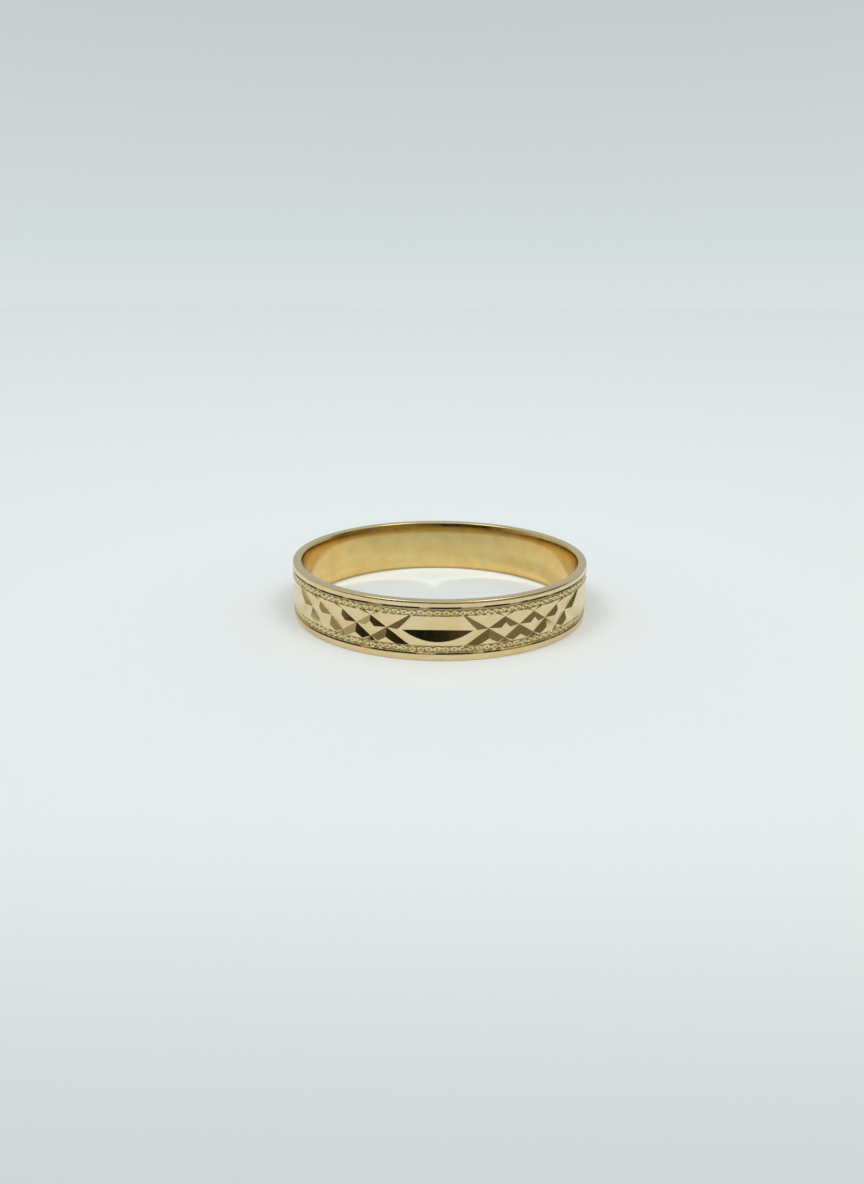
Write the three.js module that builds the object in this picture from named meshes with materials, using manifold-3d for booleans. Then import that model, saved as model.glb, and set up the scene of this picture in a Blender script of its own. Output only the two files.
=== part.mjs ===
// A flat-sided gold wedding band: one seamless ring with two turned grooves, two rows of milgrain
// beads and a bright-cut pattern of five long eyes with four crossed cuts between each pair.
// Millimetres. +Z is the finger axis, and the origin is the centre of the lower edge face.
import * as THREE from "three";
import { mergeVertices } from "three/addons/utils/BufferGeometryUtils.js";
import Module from "manifold-3d";

const wasm = await Module();
wasm.setup();

// The turned ring.
const insideDiameter = 20;
const wallThickness = 0.75;
const bandWidth = 4;
const ringSegments = 120;

// Eased corners: how deep each bites into the wall, and how far it runs along the finger axis.
const boreEaseDepth = 0.16;
const boreEaseLength = 1;
const boreEaseSteps = 4;
const outerEaseDepth = 0.07;
const outerEaseLength = 0.18;
const outerEaseSteps = 2;

// The decoration is laid out from one height, a little above the middle of the band.
const patternHeight = 2.04;
const fieldHalfHeight = 1.03;

// One turned, flat-bottomed groove outside each row of beads.
const grooveOffset = 1.54;
const grooveHalfWidth = 0.065;
const grooveFloorHalfWidth = 0.045;
const grooveDepth = 0.1;

// Milgrain: beads rolled into a shallow track between the field and the groove.
const beadsPerRow = 125;
const beadRowWidth = 0.43;
const beadCrownDepth = 0.02;
const beadValleyDepth = 0.11;

// Bright cuts: straight V cuts made with one flat-sided tool.
const repeats = 5;
const crossesPerRepeat = 4;
const crossSpacing = THREE.MathUtils.degToRad(12);
const crossDepth = 0.166;
const crossSlant = THREE.MathUtils.degToRad(33);
const crossSlope = THREE.MathUtils.degToRad(17.5);
const eyeDepth = 0.243;
const eyeLowerSlope = THREE.MathUtils.degToRad(18.2);
const eyeUpperSlope = THREE.MathUtils.degToRad(14);

// How far a cutting shape reaches past the metal that it takes away.
const cutLength = 6;
const cutClearance = 0.1;
const cutterReach = 0.5;

const boreRadius = insideDiameter / 2;
const outerRadius = boreRadius + wallThickness;
const fieldBottom = patternHeight - fieldHalfHeight;
const fieldTop = patternHeight + fieldHalfHeight;

/** The solid inside a closed geometry, with its shared vertices merged. */
function solidOf(geometry) {
  geometry.deleteAttribute("normal");
  geometry.deleteAttribute("uv");
  const merged = mergeVertices(geometry, 1e-5);
  const mesh = new wasm.Mesh({
    numProp: 3,
    vertProperties: merged.getAttribute("position").array,
    triVerts: merged.getIndex().array,
  });
  return new wasm.Manifold(mesh);
}

/** The three.js geometry of a solid. */
function geometryOf(solid) {
  const mesh = solid.getMesh();
  const geometry = new THREE.BufferGeometry();
  geometry.setAttribute("position", new THREE.BufferAttribute(mesh.vertProperties, 3));
  geometry.setIndex(new THREE.BufferAttribute(mesh.triVerts, 1));
  geometry.computeVertexNormals();
  return geometry;
}

/** The ring swept by a closed outline of [radius, height] points, outer side going up. */
function turned(outline) {
  const points = [...outline, outline[0]].map(([radius, height]) => new THREE.Vector2(radius, height));
  return solidOf(new THREE.LatheGeometry(points, ringSegments).rotateX(Math.PI / 2));
}

/** The points of a quarter ellipse, anticlockwise from startAngle. */
function quarterEllipse({ centreRadius, centreHeight, depth, length, startAngle, steps }) {
  return Array.from({ length: steps + 1 }, (_, step) => {
    const angle = startAngle + (step / steps) * (Math.PI / 2);
    return [centreRadius + depth * Math.cos(angle), centreHeight + length * Math.sin(angle)];
  });
}

/** An eased corner of the bore. */
function boreCorner(centreHeight, startAngle) {
  return quarterEllipse({
    centreRadius: boreRadius + boreEaseDepth,
    centreHeight,
    depth: boreEaseDepth,
    length: boreEaseLength,
    startAngle,
    steps: boreEaseSteps,
  });
}

/** An eased corner of the outside. */
function outerCorner(centreHeight, startAngle) {
  return quarterEllipse({
    centreRadius: outerRadius - outerEaseDepth,
    centreHeight,
    depth: outerEaseDepth,
    length: outerEaseLength,
    startAngle,
    steps: outerEaseSteps,
  });
}

/** The four points of a turned groove, from below upwards. */
function groove(centreHeight) {
  return [
    [outerRadius, centreHeight - grooveHalfWidth],
    [outerRadius - grooveDepth, centreHeight - grooveFloorHalfWidth],
    [outerRadius - grooveDepth, centreHeight + grooveFloorHalfWidth],
    [outerRadius, centreHeight + grooveHalfWidth],
  ];
}

/** The plain ring as it comes off the lathe, with its two grooves. */
function ringBlank() {
  return turned([
    ...outerCorner(outerEaseLength, -Math.PI / 2),
    ...groove(patternHeight - grooveOffset),
    ...groove(patternHeight + grooveOffset),
    ...outerCorner(bandWidth - outerEaseLength, 0),
    ...boreCorner(bandWidth - boreEaseLength, Math.PI / 2),
    ...boreCorner(boreEaseLength, Math.PI),
  ]);
}

/** A V wedge whose valley is depth under the surface at the given angle round from the front. */
function straightCut({ angle, slant, depth, lowerSlope, upperSlope }) {
  const rise = depth + cutClearance;
  const section = new THREE.Shape([
    new THREE.Vector2(0, 0),
    new THREE.Vector2(rise / Math.tan(upperSlope), rise),
    new THREE.Vector2(-rise / Math.tan(lowerSlope), rise),
  ]);
  const wedge = new THREE.ExtrudeGeometry(section, { depth: cutLength, bevelEnabled: false });
  wedge.translate(0, 0, -cutLength / 2);
  wedge.rotateY(slant);
  const up = new THREE.Vector3(0, 0, 1);
  const outward = new THREE.Vector3(0, -1, 0);
  const along = new THREE.Vector3(1, 0, 0);
  wedge.applyMatrix4(new THREE.Matrix4().makeBasis(up, outward, along));
  wedge.translate(0, depth - outerRadius, patternHeight);
  wedge.rotateZ(angle);
  return solidOf(wedge);
}

/** The long horizontal cut at the head of each repeat. */
function eyeCut(angle) {
  return straightCut({
    angle,
    slant: 0,
    depth: eyeDepth,
    lowerSlope: eyeLowerSlope,
    upperSlope: eyeUpperSlope,
  });
}

/** One of the two slanted cuts of a cross. */
function slantedCut(angle, slant) {
  return straightCut({
    angle,
    slant,
    depth: crossDepth,
    lowerSlope: crossSlope,
    upperSlope: crossSlope,
  });
}

/** Everything that the bright-cut tool takes away, kept between the two rows of beads. */
function brightCuts() {
  const cuts = [];
  for (let repeat = 0; repeat < repeats; repeat += 1) {
    const start = (repeat / repeats) * 2 * Math.PI;
    cuts.push(eyeCut(start));
    for (let cross = 0; cross < crossesPerRepeat; cross += 1) {
      const fromMiddle = (cross - (crossesPerRepeat - 1) / 2) * crossSpacing;
      const angle = start + Math.PI / repeats + fromMiddle;
      cuts.push(slantedCut(angle, crossSlant), slantedCut(angle, -crossSlant));
    }
  }
  const field = turned([
    [outerRadius - cutterReach, fieldBottom],
    [outerRadius + cutterReach, fieldBottom],
    [outerRadius + cutterReach, fieldTop],
    [outerRadius - cutterReach, fieldTop],
  ]);
  return wasm.Manifold.union(cuts).intersect(field);
}

/** A point of a flat outline, at a radius and an angle. */
function polar(radius, angle) {
  return new THREE.Vector2(radius * Math.cos(angle), radius * Math.sin(angle));
}

/** The metal rolled away round one row of beads: a ring with a zigzag hole, crown then valley. */
function beadRowCut(bottom) {
  const pitch = (2 * Math.PI) / beadsPerRow;
  const beads = [];
  for (let bead = 0; bead < beadsPerRow; bead += 1) {
    beads.push(polar(outerRadius - beadCrownDepth, bead * pitch));
    beads.push(polar(outerRadius - beadValleyDepth, (bead + 0.5) * pitch));
  }
  const rolled = new THREE.Shape();
  rolled.absarc(0, 0, outerRadius + cutterReach, 0, 2 * Math.PI);
  rolled.holes.push(new THREE.Path(beads));
  const cut = new THREE.ExtrudeGeometry(rolled, {
    depth: beadRowWidth,
    bevelEnabled: false,
    curveSegments: ringSegments,
  });
  return solidOf(cut.translate(0, 0, bottom));
}

/** The finished ring. */
function band() {
  const solid = ringBlank()
    .subtract(brightCuts())
    .subtract(beadRowCut(fieldBottom - beadRowWidth))
    .subtract(beadRowCut(fieldTop));
  const gold = new THREE.MeshStandardMaterial({ color: 0xd9bd7c, roughness: 0.22, metalness: 1 });
  const mesh = new THREE.Mesh(geometryOf(solid), gold);
  mesh.name = "band";
  return mesh;
}

const weddingBand = new THREE.Group();
weddingBand.add(band());

export default weddingBand;
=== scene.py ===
"""A flat-sided gold wedding band, milgrained and bright cut, lying on a pale studio floor.

Lengths are in millimetres until a mesh or an object is handed to Blender, which works in metres.
+Z is the finger axis, the ring rests on z = 0, and -Y is the front, through the middle of an eye cut."""
import math

import bmesh
import bpy
import numpy as np
from mathutils import Matrix, Vector


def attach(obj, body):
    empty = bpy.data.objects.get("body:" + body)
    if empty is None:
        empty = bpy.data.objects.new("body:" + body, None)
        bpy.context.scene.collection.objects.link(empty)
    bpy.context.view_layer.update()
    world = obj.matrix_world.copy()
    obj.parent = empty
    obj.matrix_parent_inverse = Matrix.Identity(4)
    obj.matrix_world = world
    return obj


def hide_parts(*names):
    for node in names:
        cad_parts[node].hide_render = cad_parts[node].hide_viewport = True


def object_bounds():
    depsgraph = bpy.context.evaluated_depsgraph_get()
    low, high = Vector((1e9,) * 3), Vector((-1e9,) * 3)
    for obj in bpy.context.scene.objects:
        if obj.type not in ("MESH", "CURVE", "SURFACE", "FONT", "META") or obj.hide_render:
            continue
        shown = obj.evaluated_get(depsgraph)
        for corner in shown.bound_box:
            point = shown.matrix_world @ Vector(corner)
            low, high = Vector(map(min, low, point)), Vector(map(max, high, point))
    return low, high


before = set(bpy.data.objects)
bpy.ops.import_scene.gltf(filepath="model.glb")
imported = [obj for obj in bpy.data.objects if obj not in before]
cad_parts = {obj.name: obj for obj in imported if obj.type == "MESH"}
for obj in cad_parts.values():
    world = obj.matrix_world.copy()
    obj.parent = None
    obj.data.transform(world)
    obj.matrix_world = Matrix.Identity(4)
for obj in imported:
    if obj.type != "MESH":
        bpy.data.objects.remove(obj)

MM = 0.001
CAD_LOW, CAD_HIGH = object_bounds()

# The turned ring, from the frame.
OUTER_RADIUS = CAD_HIGH.x / MM
WIDTH = (CAD_HIGH.z - CAD_LOW.z) / MM
BORE_RADIUS = min(math.hypot(v.co.x, v.co.y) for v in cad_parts["band"].data.vertices) / MM
COLUMNS = 480

# Quarter ellipses that ease the edges: how deep each bites into the wall, and how far it runs along Z.
OUTER_EASE = (0.07, 0.18)
BORE_EASE = (0.16, 1.0)
OUTER_EASE_STEPS = 8
BORE_EASE_STEPS = 14

# The decoration, laid out from one height as in the CAD model.
PATTERN_HEIGHT = 2.04
GROOVE_OFFSET = 1.54
GROOVE_HALF_WIDTH = 0.065
GROOVE_FLOOR = 0.045
GROOVE_DEPTH = 0.10

# Milgrain beads, rolled into a shallow track beside each groove.
BEADS_PER_ROW = 125
COLUMNS_PER_BEAD = 14
TRACK_INNER = 0.97
TRACK_OUTER = 1.465
TRACK_SIDE = 0.045
TRACK_DEPTH = 0.11
TRACK_ROWS = 16
BEAD_HALF_HEIGHT = 0.24
BEAD_HALF_LENGTH = 0.51
DIMPLE_DEPTH = 0.8
DIMPLE_WIDTH = 0.32

# How the beads differ: their height, and how far each sits off along and across, and leans.
BEAD_SIZES = (0.75, 1.0)
BEAD_SHIFT = 0.06
BEAD_LIFT = 0.12
BEAD_LEAN = 0.25

# How far the tool that rolls the beads stands off the metal at its sides, and reaches out past it.
CUTTER_CLEARANCE = 0.02
CUTTER_REACH = 0.3

# Straight V cuts made with one flat-sided tool.
REPEATS = 5
CROSS_ANGLES = (18.0, 30.0, 42.0, 54.0)
CROSS_DEPTH = 0.166
CROSS_SLANT = 33.0
CROSS_SLOPE = 17.5
EYE_DEPTH = 0.243
EYE_LOWER_SLOPE = 18.2
EYE_UPPER_SLOPE = 14.0
CUT_LENGTH = 6.0
CUT_CLEARANCE = 0.1

# A cut's wall only counts where it faces outwards by more than this cosine.
LEAST_FACING = 0.2

# Edges that turn by more than this are creases, and shorter ones than this are merged away.
CREASE_ANGLE = 30.0
SHORTEST_EDGE = 0.0002

# Order of the material slots on the band's mesh.
TURNED, EDGE, BORE, CUT, BEADS = range(5)


# --- Geometry of the bright cuts -----------------------------------------------------------------

def cut_frame(angle, slant):
    """Unit vectors outward, along and across (upwards) a straight cut, angle degrees round."""
    turn = math.radians(angle)
    lean = math.radians(slant)
    outward = np.array([math.sin(turn), -math.cos(turn), 0.0])
    tangent = np.array([math.cos(turn), math.sin(turn), 0.0])
    up = np.array([0.0, 0.0, 1.0])
    along = math.cos(lean) * tangent + math.sin(lean) * up
    across = math.cos(lean) * up - math.sin(lean) * tangent
    return outward, along, across


def all_cuts():
    """Sets of cuts that don't touch each other. A cut is (angle, slant, depth, lower, upper slope)."""
    step = 360.0 / REPEATS
    sets = [[(n * step, 0.0, EYE_DEPTH, EYE_LOWER_SLOPE, EYE_UPPER_SLOPE) for n in range(REPEATS)]]
    for place in CROSS_ANGLES:
        for slant in (CROSS_SLANT, -CROSS_SLANT):
            sets.append([
                (n * step + place, slant, CROSS_DEPTH, CROSS_SLOPE, CROSS_SLOPE)
                for n in range(REPEATS)
            ])
    return sets


def surface_radius(angle, height):
    """Radius of the cut surface at arrays of angle (radians) and height."""
    direction = np.stack([np.sin(angle), -np.cos(angle)], -1)
    radius = np.full(angle.shape, OUTER_RADIUS)
    for cuts in all_cuts():
        for place, slant, depth, lower, upper in cuts:
            outward, _, across = cut_frame(place, slant)
            valley = outward * (OUTER_RADIUS - depth) + np.array([0.0, 0.0, PATTERN_HEIGHT])
            walls = []
            for side, slope in ((1, upper), (-1, lower)):
                lean = math.radians(slope)
                normal = math.cos(lean) * outward - side * math.sin(lean) * across
                facing = direction @ normal[:2]
                reach = (normal @ valley - normal[2] * height) / np.maximum(facing, LEAST_FACING)
                walls.append(np.where(facing > LEAST_FACING, reach, np.inf))
            radius = np.minimum(radius, np.maximum(*walls))
    return radius


# --- Meshes --------------------------------------------------------------------------------------

def new_object(name, vertices, faces, zones=None):
    """A linked mesh object, with a material slot number for each face."""
    mesh = bpy.data.meshes.new(name)
    mesh.from_pydata([tuple(v) for v in vertices], [], faces)
    for material in MATERIALS:
        mesh.materials.append(material)
    if zones is not None:
        mesh.polygons.foreach_set("material_index", zones)
    piece = bpy.data.objects.new(name, mesh)
    bpy.context.scene.collection.objects.link(piece)
    return piece


def ease(corner, size, towards, start, steps):
    """Points of a quarter ellipse at a corner (radius, height), from start degrees, anticlockwise."""
    turns = np.radians(start + np.linspace(0, 90, steps + 1))
    centre = np.array(corner) + np.array(towards) * size
    return [tuple(centre + np.array(size) * (math.cos(t), math.sin(t))) for t in turns]


def groove(height):
    """The turned groove's points, from below upwards."""
    return [
        (OUTER_RADIUS, height - GROOVE_HALF_WIDTH),
        (OUTER_RADIUS - GROOVE_DEPTH, height - GROOVE_FLOOR),
        (OUTER_RADIUS - GROOVE_DEPTH, height + GROOVE_FLOOR),
        (OUTER_RADIUS, height + GROOVE_HALF_WIDTH),
    ]


def ring_outline():
    """The band's cross-section as stretches of (zone, points), outer side going up."""
    return [
        (TURNED, ease((OUTER_RADIUS, 0.0), OUTER_EASE, (-1, 1), -90, OUTER_EASE_STEPS)),
        (TURNED, groove(PATTERN_HEIGHT - GROOVE_OFFSET)),
        (TURNED, groove(PATTERN_HEIGHT + GROOVE_OFFSET)),
        (TURNED, ease((OUTER_RADIUS, WIDTH), OUTER_EASE, (-1, -1), 0, OUTER_EASE_STEPS)[:-1]),
        (EDGE, [(OUTER_RADIUS - OUTER_EASE[0], WIDTH)]),
        (BORE, ease((BORE_RADIUS, WIDTH), BORE_EASE, (1, -1), 90, BORE_EASE_STEPS)),
        (BORE, ease((BORE_RADIUS, 0.0), BORE_EASE, (1, 1), 180, BORE_EASE_STEPS)[:-1]),
        (EDGE, [(BORE_RADIUS + BORE_EASE[0], 0.0)]),
    ]


def revolve(points, zones, columns):
    """Vertices, faces and zones of a closed outline swept round +Z. points is (columns, n, 2) or (n, 2)."""
    count = len(zones)
    rows = np.broadcast_to(np.asarray(points, float), (columns, count, 2))
    angle = 2 * math.pi * np.arange(columns) / columns
    radius, height = rows[..., 0], rows[..., 1]
    x = radius * np.sin(angle)[:, None]
    y = -radius * np.cos(angle)[:, None]
    vertices = np.stack([x, y, height], -1).reshape(-1, 3)
    faces = []
    for column in range(columns):
        here = column * count
        there = (column + 1) % columns * count
        for n in range(count):
            m = (n + 1) % count
            faces.append((here + n, there + n, there + m, here + m))
    return vertices, faces, list(zones) * columns


def ring_blank():
    """The plain turned ring."""
    points, zones = [], []
    for zone, stretch in ring_outline():
        points += stretch
        zones += [zone] * len(stretch)
    return new_object("band_surface", *revolve(points, zones, COLUMNS))


def wedges(cuts):
    """One object of separate V wedges."""
    vertices, faces = [], []
    for place, slant, depth, lower, upper in cuts:
        outward, along, across = cut_frame(place, slant)
        valley = outward * (OUTER_RADIUS - depth) + np.array([0.0, 0.0, PATTERN_HEIGHT])
        rise = depth + CUT_CLEARANCE
        section = [
            np.zeros(3),
            outward * rise + across * rise / math.tan(math.radians(upper)),
            outward * rise - across * rise / math.tan(math.radians(lower)),
        ]
        first = len(vertices)
        for end in (-0.5, 0.5):
            vertices += [valley + along * CUT_LENGTH * end + corner for corner in section]
        a, b, c, d, e, f = range(first, first + 6)
        faces += [(a, c, b), (d, e, f), (a, b, e, d), (b, c, f, e), (c, a, d, f)]
    return new_object("wedges", vertices, faces, [CUT] * len(faces))


def bead_rows(rng):
    """Radius of one row's rolled surface, relative to the metal, by column and row."""
    columns = BEADS_PER_ROW * COLUMNS_PER_BEAD
    phase = np.arange(columns) / COLUMNS_PER_BEAD
    bead = np.floor(phase + 0.5).astype(int) % BEADS_PER_ROW
    size = rng.uniform(*BEAD_SIZES, BEADS_PER_ROW)[bead]
    shift = rng.uniform(-BEAD_SHIFT, BEAD_SHIFT, BEADS_PER_ROW)[bead]
    lift = rng.uniform(-BEAD_LIFT, BEAD_LIFT, BEADS_PER_ROW)[bead]
    lean = rng.uniform(-BEAD_LEAN, BEAD_LEAN, BEADS_PER_ROW)[bead]
    span = TRACK_OUTER - TRACK_INNER
    middle = np.linspace(TRACK_SIDE, span - TRACK_SIDE, TRACK_ROWS)
    rows = np.concatenate([[0.0], middle, [span]])
    across = (rows[None, :] - span / 2) / BEAD_HALF_HEIGHT - lift[:, None]
    along = (phase - np.floor(phase + 0.5) - shift)[:, None] / BEAD_HALF_LENGTH + lean[:, None] * across
    spread = along ** 2 + across ** 2
    dome = np.sqrt(np.maximum(1 - spread, 0.0)) - DIMPLE_DEPTH * np.exp(-spread / DIMPLE_WIDTH ** 2)
    relief = TRACK_DEPTH * (size[:, None] * dome - 1)
    relief[:, [0, -1]] = CUTTER_CLEARANCE
    return rows, relief


def bead_cutter(offset, flip, rng):
    """The ring of metal rolled away round one row of beads."""
    columns = BEADS_PER_ROW * COLUMNS_PER_BEAD
    rows, relief = bead_rows(rng)
    heights = PATTERN_HEIGHT + flip * (offset + rows)
    order = slice(None) if flip < 0 else slice(None, None, -1)
    heights, relief = heights[order], relief[:, order]
    angle = 2 * math.pi * np.arange(columns) / columns
    turn, height = np.broadcast_arrays(angle[:, None], heights[None, :])
    radius = surface_radius(turn, height) + relief
    radius[:, [0, -1]] = OUTER_RADIUS + CUTTER_CLEARANCE
    inner = np.stack([radius, height], -1)
    reach = OUTER_RADIUS + CUTTER_REACH
    back = np.array([[reach, heights[-1]], [reach, heights[0]]])
    points = np.concatenate([inner, np.broadcast_to(back, (columns, 2, 2))], 1)
    return new_object("bead_cutter", *revolve(points, [BEADS] * points.shape[1], columns))


def subtract(body, cutter):
    """Cuts one object from another, and deletes the cutter."""
    modifier = body.modifiers.new("cut", "BOOLEAN")
    modifier.operation = "DIFFERENCE"
    modifier.solver = "MANIFOLD"
    modifier.object = cutter
    graph = bpy.context.evaluated_depsgraph_get()
    mesh = bpy.data.meshes.new_from_object(body.evaluated_get(graph))
    old = body.data
    body.modifiers.clear()
    body.data = mesh
    bpy.data.meshes.remove(old)
    spent = cutter.data
    bpy.data.objects.remove(cutter)
    bpy.data.meshes.remove(spent)


def finish_mesh(mesh):
    """Cleans the cut mesh, marks its creases, and stores how deep each point lies in a recess."""
    work = bmesh.new()
    work.from_mesh(mesh)
    bmesh.ops.dissolve_degenerate(work, dist=SHORTEST_EDGE, edges=work.edges)
    work.to_mesh(mesh)
    work.free()
    points = np.empty(len(mesh.vertices) * 3)
    mesh.vertices.foreach_get("co", points)
    x, y, z = points.reshape(-1, 3).T
    depth = surface_radius(np.arctan2(x, -y), z) - np.hypot(x, y)
    decorated = abs(z - PATTERN_HEIGHT) < GROOVE_OFFSET + GROOVE_HALF_WIDTH
    depth[(np.hypot(x, y) < BORE_RADIUS + BORE_EASE[0]) | ~decorated] = 0.0
    mesh.attributes.new(RECESS, "FLOAT", "POINT").data.foreach_set("value", depth)
    zones = np.empty(len(mesh.polygons), int)
    mesh.polygons.foreach_get("material_index", zones)
    mesh.set_sharp_from_angle(angle=math.radians(CREASE_ANGLE))
    mesh.polygons.foreach_set("use_smooth", zones != CUT)


def make_band():
    """The finished ring's mesh, in metres."""
    rng = np.random.default_rng(7)
    band = ring_blank()
    for cuts in all_cuts():
        subtract(band, wedges(cuts))
    for flip in (-1, 1):
        subtract(band, bead_cutter(TRACK_INNER, flip, rng))
    finish_mesh(band.data)
    band.data.transform(Matrix.Scale(MM, 4))
    return band


# --- Materials -----------------------------------------------------------------------------------

# The point attribute that holds how far a point lies below the surface round it, in millimetres.
RECESS = "recess"

# Linear colours: polished gold, satin gold on the edge faces, the bore, the beads, and the dark residue that
# also serves as painted shade in recesses.
LIGHT_GOLD = (0.82, 0.665, 0.405)
DEEP_GOLD = (0.79, 0.61, 0.32)
SATIN_GOLD = (0.68, 0.58, 0.36)
BORE_LIGHT = (0.775, 0.58, 0.245)
BORE_DEEP = (0.715, 0.52, 0.205)
BEAD_LIGHT = (0.77, 0.64, 0.36)
BEAD_DEEP = (0.68, 0.55, 0.27)
# Dark residue and painted recess shade, blended in by depth in the grooves and bead tracks.
RESIDUE_AND_SHADE_COLOUR = (0.050, 0.036, 0.014)

# The residue and painted shade in the grooves come in patches, which the shift slides along the band, and are
# rougher.
PATCH_SHIFT = (-1.9, 0.0, 0.0)
PATCH_SCALE = 0.8
PATCH_RANGE = (0.40, 0.54)
RESIDUE_AND_SHADE_ROUGHENS = 0.3

# Noise that mottles the colour and clouds the shine: features per millimetre, and the part of its range used.
MOTTLE_SCALE = 0.9
MOTTLE_RANGE = (0.35, 0.65)
CLOUD_SCALE = 3.1
CLOUD_RANGE = (0.3, 0.7)


def add_node(tree, kind, inputs=(), **settings):
    """A node, with its settings and its inputs, each a value or another node's output."""
    node = tree.nodes.new(kind)
    for key, value in settings.items():
        setattr(node, key, value)
    for key, value in dict(inputs).items():
        if isinstance(value, bpy.types.NodeSocket):
            tree.links.new(value, node.inputs[key])
        else:
            node.inputs[key].default_value = value
    return node


def blend(tree, factor, first, second):
    """A colour between two linear colours, or two colour outputs."""
    pair = [c if isinstance(c, bpy.types.NodeSocket) else (*c, 1.0) for c in (first, second)]
    node = add_node(tree, "ShaderNodeMix", {"Factor": factor}, data_type="RGBA")
    for socket, value in zip((node.inputs[6], node.inputs[7]), pair):
        if isinstance(value, bpy.types.NodeSocket):
            tree.links.new(value, socket)
        else:
            socket.default_value = value
    return node.outputs[2]


def remap(tree, value, source, target, smooth=False):
    """A number moved from one range to another, clamped to it."""
    names = ("Value", "From Min", "From Max", "To Min", "To Max")
    inputs = dict(zip(names, (value, *source, *target)))
    kind = "SMOOTHSTEP" if smooth else "LINEAR"
    return add_node(tree, "ShaderNodeMapRange", inputs, interpolation_type=kind).outputs[0]


def math_node(tree, operation, *values):
    """The result of an operation on numbers, each a value or another node's output."""
    return add_node(tree, "ShaderNodeMath", dict(enumerate(values)), operation=operation).outputs[0]


def noise(tree, place, scale, stretch=(1.0, 1.0, 1.0), detail=2.0, shift=(0.0, 0.0, 0.0)):
    """Smooth noise with features 1/scale millimetres across, squeezed along each axis by stretch."""
    moved = {"Vector": place, "Location": shift, "Scale": stretch}
    squeezed = add_node(tree, "ShaderNodeMapping", moved).outputs[0]
    grain = {"Vector": squeezed, "Scale": scale, "Detail": detail}
    return add_node(tree, "ShaderNodeTexNoise", grain).outputs[0]


def relief(tree, place, marks):
    """The surface's normal with layers of noise pressed into it, each (scale, stretch, height)."""
    normal = None
    for scale, stretch, height in marks:
        layer = {"Height": noise(tree, place, scale, stretch), "Distance": height * MM}
        if normal is not None:
            layer["Normal"] = normal
        normal = add_node(tree, "ShaderNodeBump", layer).outputs[0]
    return normal


def residue_and_shade_cover(tree, place, residue_and_shade_depths, patchy):
    """How much residue and painted recess shade covers a place, from 0 to 1, by its depth in a recess."""
    depth = add_node(tree, "ShaderNodeAttribute", attribute_name=RECESS).outputs["Fac"]
    patch = remap(tree, noise(tree, place, PATCH_SCALE, shift=PATCH_SHIFT), PATCH_RANGE, (patchy, -patchy))
    return remap(tree, math_node(tree, "SUBTRACT", depth, patch), residue_and_shade_depths, (0.0, 1.0), smooth=True)


def gold(name, colours, shine, marks, residue_and_shade_depths=(0.05, 0.14), patchy=0.0):
    """Gold with mottled colour and shine, darkened in its recesses by residue and painted shade.

    marks are layers of relief, each (features per millimetre, stretch, height in millimetres). Residue and
    painted shade start at the first depth given for them and are full at the second. patchy shifts both from
    place to place."""
    material = bpy.data.materials.new(name)
    material.use_nodes = True
    tree = material.node_tree
    shader = tree.nodes["Principled BSDF"]
    shader.inputs["Specular IOR Level"].default_value = 0.0
    metres = add_node(tree, "ShaderNodeTexCoord").outputs["Object"]
    scaled = add_node(tree, "ShaderNodeVectorMath", {0: metres, "Scale": 1 / MM}, operation="SCALE")
    place = scaled.outputs[0]
    mottle = remap(tree, noise(tree, place, MOTTLE_SCALE), MOTTLE_RANGE, (0.0, 1.0))
    cloud = remap(tree, noise(tree, place, CLOUD_SCALE, detail=3.0), CLOUD_RANGE, shine)
    dark = residue_and_shade_cover(tree, place, residue_and_shade_depths, patchy)
    # Painted shade with the residue: the colour darkens with depth in each recess.
    colour = blend(tree, dark, blend(tree, mottle, *colours), RESIDUE_AND_SHADE_COLOUR)
    tree.links.new(colour, shader.inputs["Base Color"])
    tree.links.new(remap(tree, dark, (0.0, 1.0), (1.0, 0.0)), shader.inputs["Metallic"])
    tree.links.new(math_node(tree, "MULTIPLY_ADD", dark, RESIDUE_AND_SHADE_ROUGHENS, cloud), shader.inputs["Roughness"])
    tree.links.new(relief(tree, place, marks), shader.inputs["Normal"])
    return material


LATHE_LINES = (0.02, 0.02, 1.0)
FLAT_GRAIN = (1.0, 1.0, 0.05)
EVEN = (1.0, 1.0, 1.0)

MATERIALS = [
    gold("turned_gold", (LIGHT_GOLD, DEEP_GOLD), (0.13, 0.24), (
        (28.0, LATHE_LINES, 0.0015), (1.3, EVEN, 0.006), (20.0, EVEN, 0.0008),
    ), residue_and_shade_depths=(0.04, 0.115), patchy=0.04),
    gold("edge_gold", (SATIN_GOLD, DEEP_GOLD), (0.14, 0.2), (
        (14.0, FLAT_GRAIN, 0.0014), (30.0, FLAT_GRAIN, 0.0008),
    )),
    gold("bore_gold", (BORE_LIGHT, BORE_DEEP), (0.12, 0.20), (
        (22.0, LATHE_LINES, 0.0012), (0.8, EVEN, 0.002), (16.0, EVEN, 0.0008),
    )),
    gold("bright_cut_gold", (LIGHT_GOLD, DEEP_GOLD), (0.05, 0.11), (
        (0.9, EVEN, 0.004), (12.0, EVEN, 0.0006),
    )),
    gold("milgrain_gold", (BEAD_LIGHT, BEAD_DEEP), (0.15, 0.26), (
        (9.0, EVEN, 0.004),
    ), residue_and_shade_depths=(0.055, 0.19)),
]

band = make_band()
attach(band, "root")
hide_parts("band")


# --- Studio --------------------------------------------------------------------------------------

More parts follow.
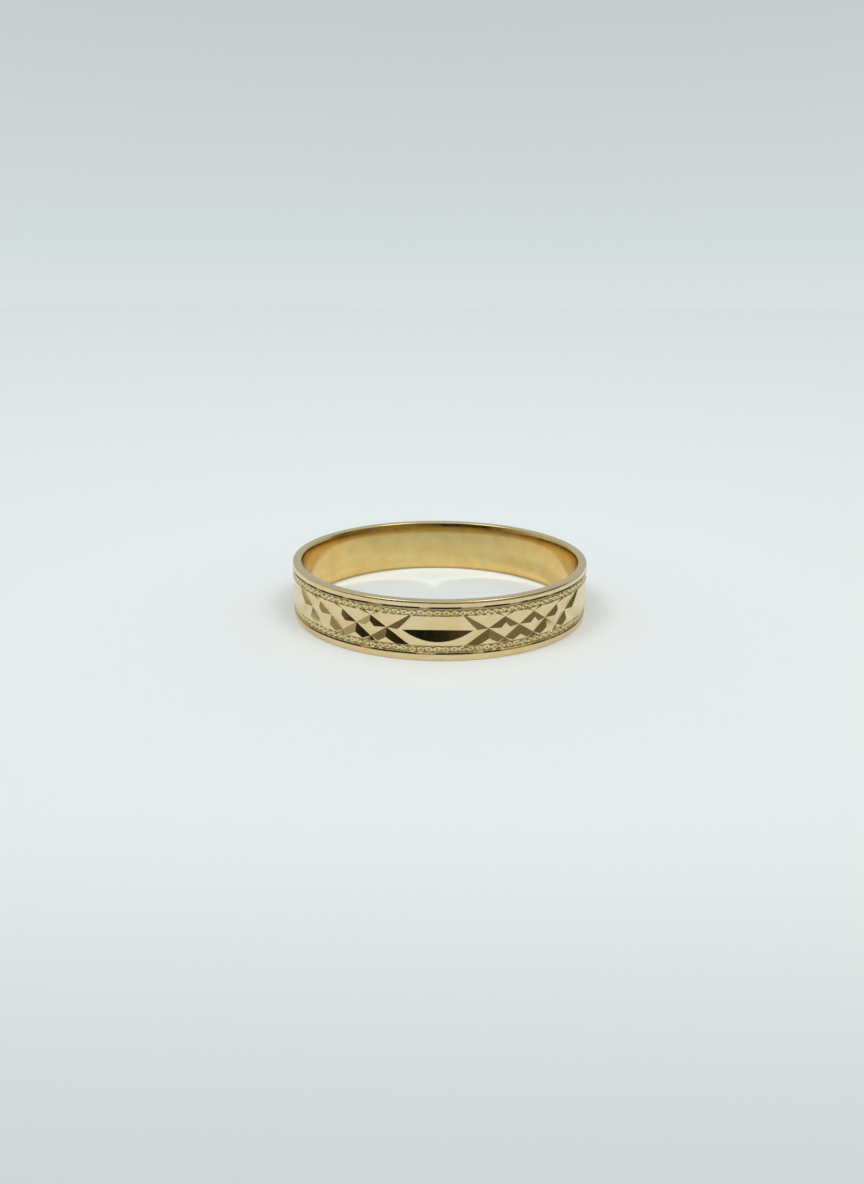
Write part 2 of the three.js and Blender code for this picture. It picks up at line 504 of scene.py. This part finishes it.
# The sheet of paper, its colour carrying painted light: it dims slowly away from the ring, and sooner towards
# the camera.
# Inside the ring painted shade makes it a little darker, and darker still behind the front wall.
FLOOR_RADIUS = 2000.0
PAPER = (0.86, 0.885, 0.90)
PAPER_INSIDE = (0.806, 0.844, 0.849)
PAPER_SHADE = (0.58, 0.60, 0.59)
SHADE_EDGE = (-9.0, 2.0)
PAPER_AWAY = (0.735, 0.76, 0.775)
PAPER_FRONT = (0.66, 0.70, 0.705)
HALF_DIM = 120.0
DIM_RANGE = (0.2, 1.0)
FRONT_EDGE = (-52.0, -28.0)

# Painted reflection: only the gold's reflections see the paper turn to a darker table beyond its sides, which
# spread apart to the back.
TABLE = (0.20, 0.20, 0.14)
LEFT_SIDE = (70.0, 90.0)
RIGHT_SIDE = (32.9, 33.7)
SPREAD = 0.45

# Painted light: a small lamp in front and above, not in the scene, as (mean, spread) degrees; the light the
# ring's walls would throw from it is traced here and the paper gives it off.
LAMP_AZIMUTH = (5.5, 2.5)
LAMP_ELEVATION = (45.0, 8.0)
THROWN_COLOUR = (0.062, 0.056, 0.043)
OUTSIDE_GAIN = 1.3
THROWN_RAYS = 2_000_000
THROWN_BOUNCES = 5
THROWN_REACH = 17.0
THROWN_CELL = 0.2
THROWN = "thrown_light"

# Painted light: the back wall's soft glow on the paper at its foot, given off by the paper: how strong, how
# wide, and where along Y it fades in.
FOOT_GLOW = 3.8
FOOT_REACH = 1.45
FOOT_FADE = (-5.0, 3.0)

FLOOR_RINGS = (*np.arange(0.2, THROWN_REACH, THROWN_CELL), 18.0, 25.0, 60.0, 250.0, FLOOR_RADIUS)
FLOOR_SPOKES = 360

# Brightness of the surroundings by height, as (sine of the elevation, linear colour).
SKY = (
    (0.00, (0.690, 0.750, 0.750)),
    (0.05, (0.650, 0.716, 0.716)),
    (0.16, (0.604, 0.665, 0.658)),
    (0.26, (0.560, 0.610, 0.606)),
    (0.35, (0.490, 0.530, 0.528)),
    (0.60, (0.500, 0.530, 0.530)),
    (0.80, (0.800, 0.840, 0.840)),
    (1.00, (0.900, 0.940, 0.940)),
)

# What the ring sees at eye level in the dim room in front of it, as (degrees from the front, linear colour).
ROOM = (
    (-114, (0.540, 0.580, 0.560)),
    (-95, (0.600, 0.600, 0.520)),
    (-84, (0.480, 0.460, 0.370)),
    (-71, (0.330, 0.300, 0.210)),
    (-58, (0.260, 0.230, 0.150)),
    (-56.5, (0.120, 0.095, 0.045)),
    (-51, (0.150, 0.125, 0.070)),
    (-45.9, (0.240, 0.205, 0.120)),
    (-45.4, (0.010, 0.010, 0.008)),
    (-27, (0.012, 0.012, 0.010)),
    (-21, (0.060, 0.045, 0.022)),
    (-18.5, (0.014, 0.012, 0.008)),
    (0.2, (0.006, 0.008, 0.007)),
    (1.3, (0.130, 0.100, 0.048)),
    (2.5, (0.052, 0.044, 0.024)),
    (8, (0.116, 0.101, 0.055)),
    (17, (0.150, 0.131, 0.070)),
    (41, (0.250, 0.230, 0.140)),
    (43, (0.190, 0.170, 0.105)),
    (56, (0.230, 0.200, 0.130)),
    (67, (0.160, 0.140, 0.090)),
    (80, (0.200, 0.190, 0.125)),
    (92, (0.115, 0.113, 0.070)),
    (106, (0.170, 0.165, 0.110)),
    (114, (0.540, 0.580, 0.560)),
)
ROOM_REACH = 114.0

# The sines of the elevations between which the room gives way to the sky.
ROOM_TOP = (0.40, 0.50)

# Softboxes in front, as (azimuth, elevation), with the cosines between which each fades in.
SOFTBOXES = ((-60, 58), (55, 58))
SOFTBOX_EDGE = (0.968, 0.990)
SOFTBOX_LIGHT = (4.2, 4.2, 4.0)


def add_ramp(tree, factor, stops):
    """A colour ramp with the given (position, colour) stops."""
    node = add_node(tree, "ShaderNodeValToRGB", {"Fac": factor})
    elements = node.color_ramp.elements
    while len(elements) < len(stops):
        elements.new(0.5)
    for element, (position, colour) in zip(elements, stops):
        element.position = position
        element.color = (*colour, 1.0)
    return node.outputs["Color"]


def aim(azimuth, elevation):
    """Unit vector towards a place, degrees round from the front and up."""
    turn, rise = math.radians(azimuth), math.radians(elevation)
    return math.sin(turn) * math.cos(rise), -math.cos(turn) * math.cos(rise), math.sin(rise)


def make_world():
    """A soft pale surround and two softboxes, with the dim room in front for the gold to reflect."""
    world = bpy.data.worlds.new("studio")
    world.use_nodes = True
    tree = world.node_tree
    direction = add_node(tree, "ShaderNodeTexCoord").outputs["Generated"]
    x, y, z = add_node(tree, "ShaderNodeSeparateXYZ", {0: direction}).outputs
    azimuth = math_node(tree, "ARCTAN2", x, math_node(tree, "MULTIPLY", y, -1.0))
    share = remap(tree, azimuth, (-math.radians(ROOM_REACH), math.radians(ROOM_REACH)), (0.0, 1.0))
    light = add_ramp(tree, z, SKY)
    for place in SOFTBOXES:
        toward = {0: direction, 1: aim(*place)}
        facing = add_node(tree, "ShaderNodeVectorMath", toward, operation="DOT_PRODUCT").outputs["Value"]
        within = remap(tree, facing, SOFTBOX_EDGE, (0.0, 1.0), smooth=True)
        light = blend(tree, within, light, SOFTBOX_LIGHT)
    room = add_ramp(tree, share, [(0.5 + degrees / ROOM_REACH / 2, colour) for degrees, colour in ROOM])
    low = remap(tree, z, ROOM_TOP, (1.0, 0.0))
    glossy = add_node(tree, "ShaderNodeLightPath").outputs["Is Glossy Ray"]
    seen = blend(tree, math_node(tree, "MULTIPLY", low, glossy), light, room)
    tree.links.new(seen, tree.nodes["Background"].inputs["Color"])
    bpy.context.scene.world = world


def thrown_rays(radius, side, rng):
    """Where lamp light lands off a wall of the ring, and how much. side is 1 outside, -1 in the bore."""
    turn = np.radians(rng.normal(*LAMP_AZIMUTH, THROWN_RAYS))
    fall = np.tan(np.radians(rng.normal(*LAMP_ELEVATION, THROWN_RAYS)))
    lamp = np.stack([np.sin(turn), -np.cos(turn)], -1)
    around = rng.uniform(0, 2 * math.pi, THROWN_RAYS)
    normal = side * np.stack([np.cos(around), np.sin(around)], -1)
    height = rng.uniform(0, WIDTH, THROWN_RAYS)
    facing = (lamp * normal).sum(-1)
    power = 2 * math.pi * radius * WIDTH / THROWN_RAYS * facing / fall
    spot = side * normal * radius
    heading = 2 * facing[:, None] * normal - lamp
    lit = facing > 0
    if side < 0:
        chord = 2 * radius * facing
        lit &= height + chord * fall > WIDTH
        for _ in range(THROWN_BOUNCES):
            again = lit & (height > chord * fall)
            spot[again] += heading[again] * chord[again, None]
            height[again] -= (chord * fall)[again]
            inward = -spot[again] / radius
            heading[again] -= 2 * (heading[again] * inward).sum(-1)[:, None] * inward
        lit &= height <= chord * fall
    spot += heading * (height / fall)[:, None]
    return spot[lit], power[lit]


def thrown_light(places):
    """Light that the ring's walls throw on the floor at places, as a share of the lamp's own."""
    rng = np.random.default_rng(3)
    cells = int(2 * THROWN_REACH / THROWN_CELL)
    light = np.zeros((cells, cells))
    for radius, side, gain in ((BORE_RADIUS, -1, 1.0), (OUTER_RADIUS, 1, OUTSIDE_GAIN)):
        spot, power = thrown_rays(radius, side, rng)
        area = ((-THROWN_REACH, THROWN_REACH),) * 2
        light += np.histogram2d(*spot.T, cells, area, weights=power * gain / THROWN_CELL ** 2)[0]
    for axis in (0, 1):
        light = (np.roll(light, 1, axis) + 2 * light + np.roll(light, -1, axis)) / 4
    at = ((places / MM + THROWN_REACH) / THROWN_CELL).astype(int)
    covered = ((at >= 0) & (at < cells)).all(-1)
    at[~covered] = 0
    return np.where(covered, light[at[:, 0], at[:, 1]], 0.0)


def foot_glow(places):
    """The soft light that the back wall passes to the paper at its foot, in the same measure."""
    from_wall = BORE_RADIUS - np.linalg.norm(places / MM, axis=-1)
    strength = FOOT_GLOW * np.interp(places[:, 1] / MM, FOOT_FADE, (0, 1))
    return np.where(from_wall > 0, strength * np.exp(-(from_wall / FOOT_REACH) ** 2), 0.0)


def floor_mesh():
    """A disc of rings and spokes, whose points hold the light that the ring throws on them."""
    turns = 2 * math.pi * np.arange(FLOOR_SPOKES) / FLOOR_SPOKES
    circle = np.stack([np.cos(turns), np.sin(turns), 0 * turns], -1)
    vertices = np.concatenate([circle * radius * MM for radius in FLOOR_RINGS] + [np.zeros((1, 3))])
    faces = []
    for spoke in range(FLOOR_SPOKES):
        beside = (spoke + 1) % FLOOR_SPOKES
        faces.append((len(vertices) - 1, spoke, beside))
        for ring in range(0, (len(FLOOR_RINGS) - 1) * FLOOR_SPOKES, FLOOR_SPOKES):
            out = ring + FLOOR_SPOKES
            faces.append((ring + spoke, out + spoke, out + beside, ring + beside))
    mesh = bpy.data.meshes.new("floor")
    mesh.from_pydata([tuple(v) for v in vertices], [], faces)
    places = vertices[:, :2]
    thrown = mesh.attributes.new(THROWN, "FLOAT", "POINT")
    thrown.data.foreach_set("value", thrown_light(places) + foot_glow(places))
    return mesh


def paper_colour(tree, place, forward):
    """The paper's colour, with painted falloff of light away from the ring and towards the camera, and
    painted shade inside the ring.
    """
    away = add_node(tree, "ShaderNodeVectorMath", {0: place}, operation="LENGTH").outputs["Value"]
    share = math_node(tree, "DIVIDE", away, math_node(tree, "ADD", away, HALF_DIM * MM))
    colour = blend(tree, remap(tree, share, DIM_RANGE, (0.0, 1.0)), PAPER, PAPER_AWAY)
    # Painted shade towards the camera.
    near = remap(tree, forward, [edge * MM for edge in FRONT_EDGE], (1.0, 0.0), smooth=True)
    colour = blend(tree, near, colour, PAPER_FRONT)
    # Painted shade inside the ring, deepest behind the front wall.
    within = remap(tree, away, [BORE_RADIUS * MM, OUTER_RADIUS * MM], (1.0, 0.0))
    shaded = remap(tree, forward, [edge * MM for edge in SHADE_EDGE], (1.0, 0.0))
    return blend(tree, within, colour, blend(tree, shaded, PAPER_INSIDE, PAPER_SHADE))


def add_table(tree, colour, sideways, forward):
    """The same colour, with a darker table beyond the paper's sides painted in for the gold's reflections
    only.
    """
    glossy = add_node(tree, "ShaderNodeLightPath").outputs["Is Glossy Ray"]
    for side, edge in ((-1, LEFT_SIDE), (1, RIGHT_SIDE)):
        inside = math_node(tree, "MULTIPLY", forward, -SPREAD)
        out = math_node(tree, "MULTIPLY_ADD", sideways, side, inside)
        beyond = remap(tree, out, [limit * MM for limit in edge], (0.0, 1.0), smooth=True)
        colour = blend(tree, math_node(tree, "MULTIPLY", beyond, glossy), colour, TABLE)
    return colour


def paper():
    """The material of the paper, which gives off the light thrown on it."""
    material = bpy.data.materials.new("floor_paper")
    material.use_nodes = True
    tree = material.node_tree
    shader = tree.nodes["Principled BSDF"]
    shader.inputs["Roughness"].default_value = 0.8
    shader.inputs["Specular IOR Level"].default_value = 0.0
    place = add_node(tree, "ShaderNodeTexCoord").outputs["Object"]
    sideways, forward, _ = add_node(tree, "ShaderNodeSeparateXYZ", {0: place}).outputs
    colour = add_table(tree, paper_colour(tree, place, forward), sideways, forward)
    tree.links.new(colour, shader.inputs["Base Color"])
    # Painted light: the traced light thrown by the ring and the foot glow, given off by the paper as
    # emission.
    light = add_node(tree, "ShaderNodeAttribute", attribute_name=THROWN).outputs["Fac"]
    tree.links.new(light, shader.inputs["Emission Strength"])
    shader.inputs["Emission Color"].default_value = (*THROWN_COLOUR, 1.0)
    return material


def make_floor():
    """A large pale sheet of paper, with the light that the ring throws on it."""
    floor = bpy.data.objects.new("floor", floor_mesh())
    bpy.context.scene.collection.objects.link(floor)
    floor.data.materials.append(paper())


# The camera's place and aim are given before CAMERA_TURN swings it round +Z. Angles are degrees.
CAMERA_TURN = 0.5
CAMERA_PLACE = (0.0, -64.08, 22.22)
CAMERA_AIM = (-0.546, 0.0, 1.122)
CAMERA_ROLL = 0.362
CAMERA_LENS = 27.39


def make_camera():
    """The camera at the viewing angle, turned with the ring about +Z."""
    data = bpy.data.cameras.new("camera")
    data.lens = CAMERA_LENS
    data.clip_start = 1.0 * MM
    data.clip_end = 10.0
    camera = bpy.data.objects.new("camera", data)
    bpy.context.scene.collection.objects.link(camera)
    turn = Matrix.Rotation(math.radians(CAMERA_TURN), 4, "Z")
    place = Vector(CAMERA_PLACE) * MM
    ahead = Vector(CAMERA_AIM) * MM - place
    look = ahead.to_track_quat("-Z", "Y").to_matrix().to_4x4()
    roll = Matrix.Rotation(math.radians(CAMERA_ROLL), 4, "Z")
    camera.matrix_world = turn @ Matrix.Translation(place) @ look @ roll
    bpy.context.scene.camera = camera


make_floor()
make_world()
make_camera()

bpy.context.scene.view_settings.view_transform = "Standard"
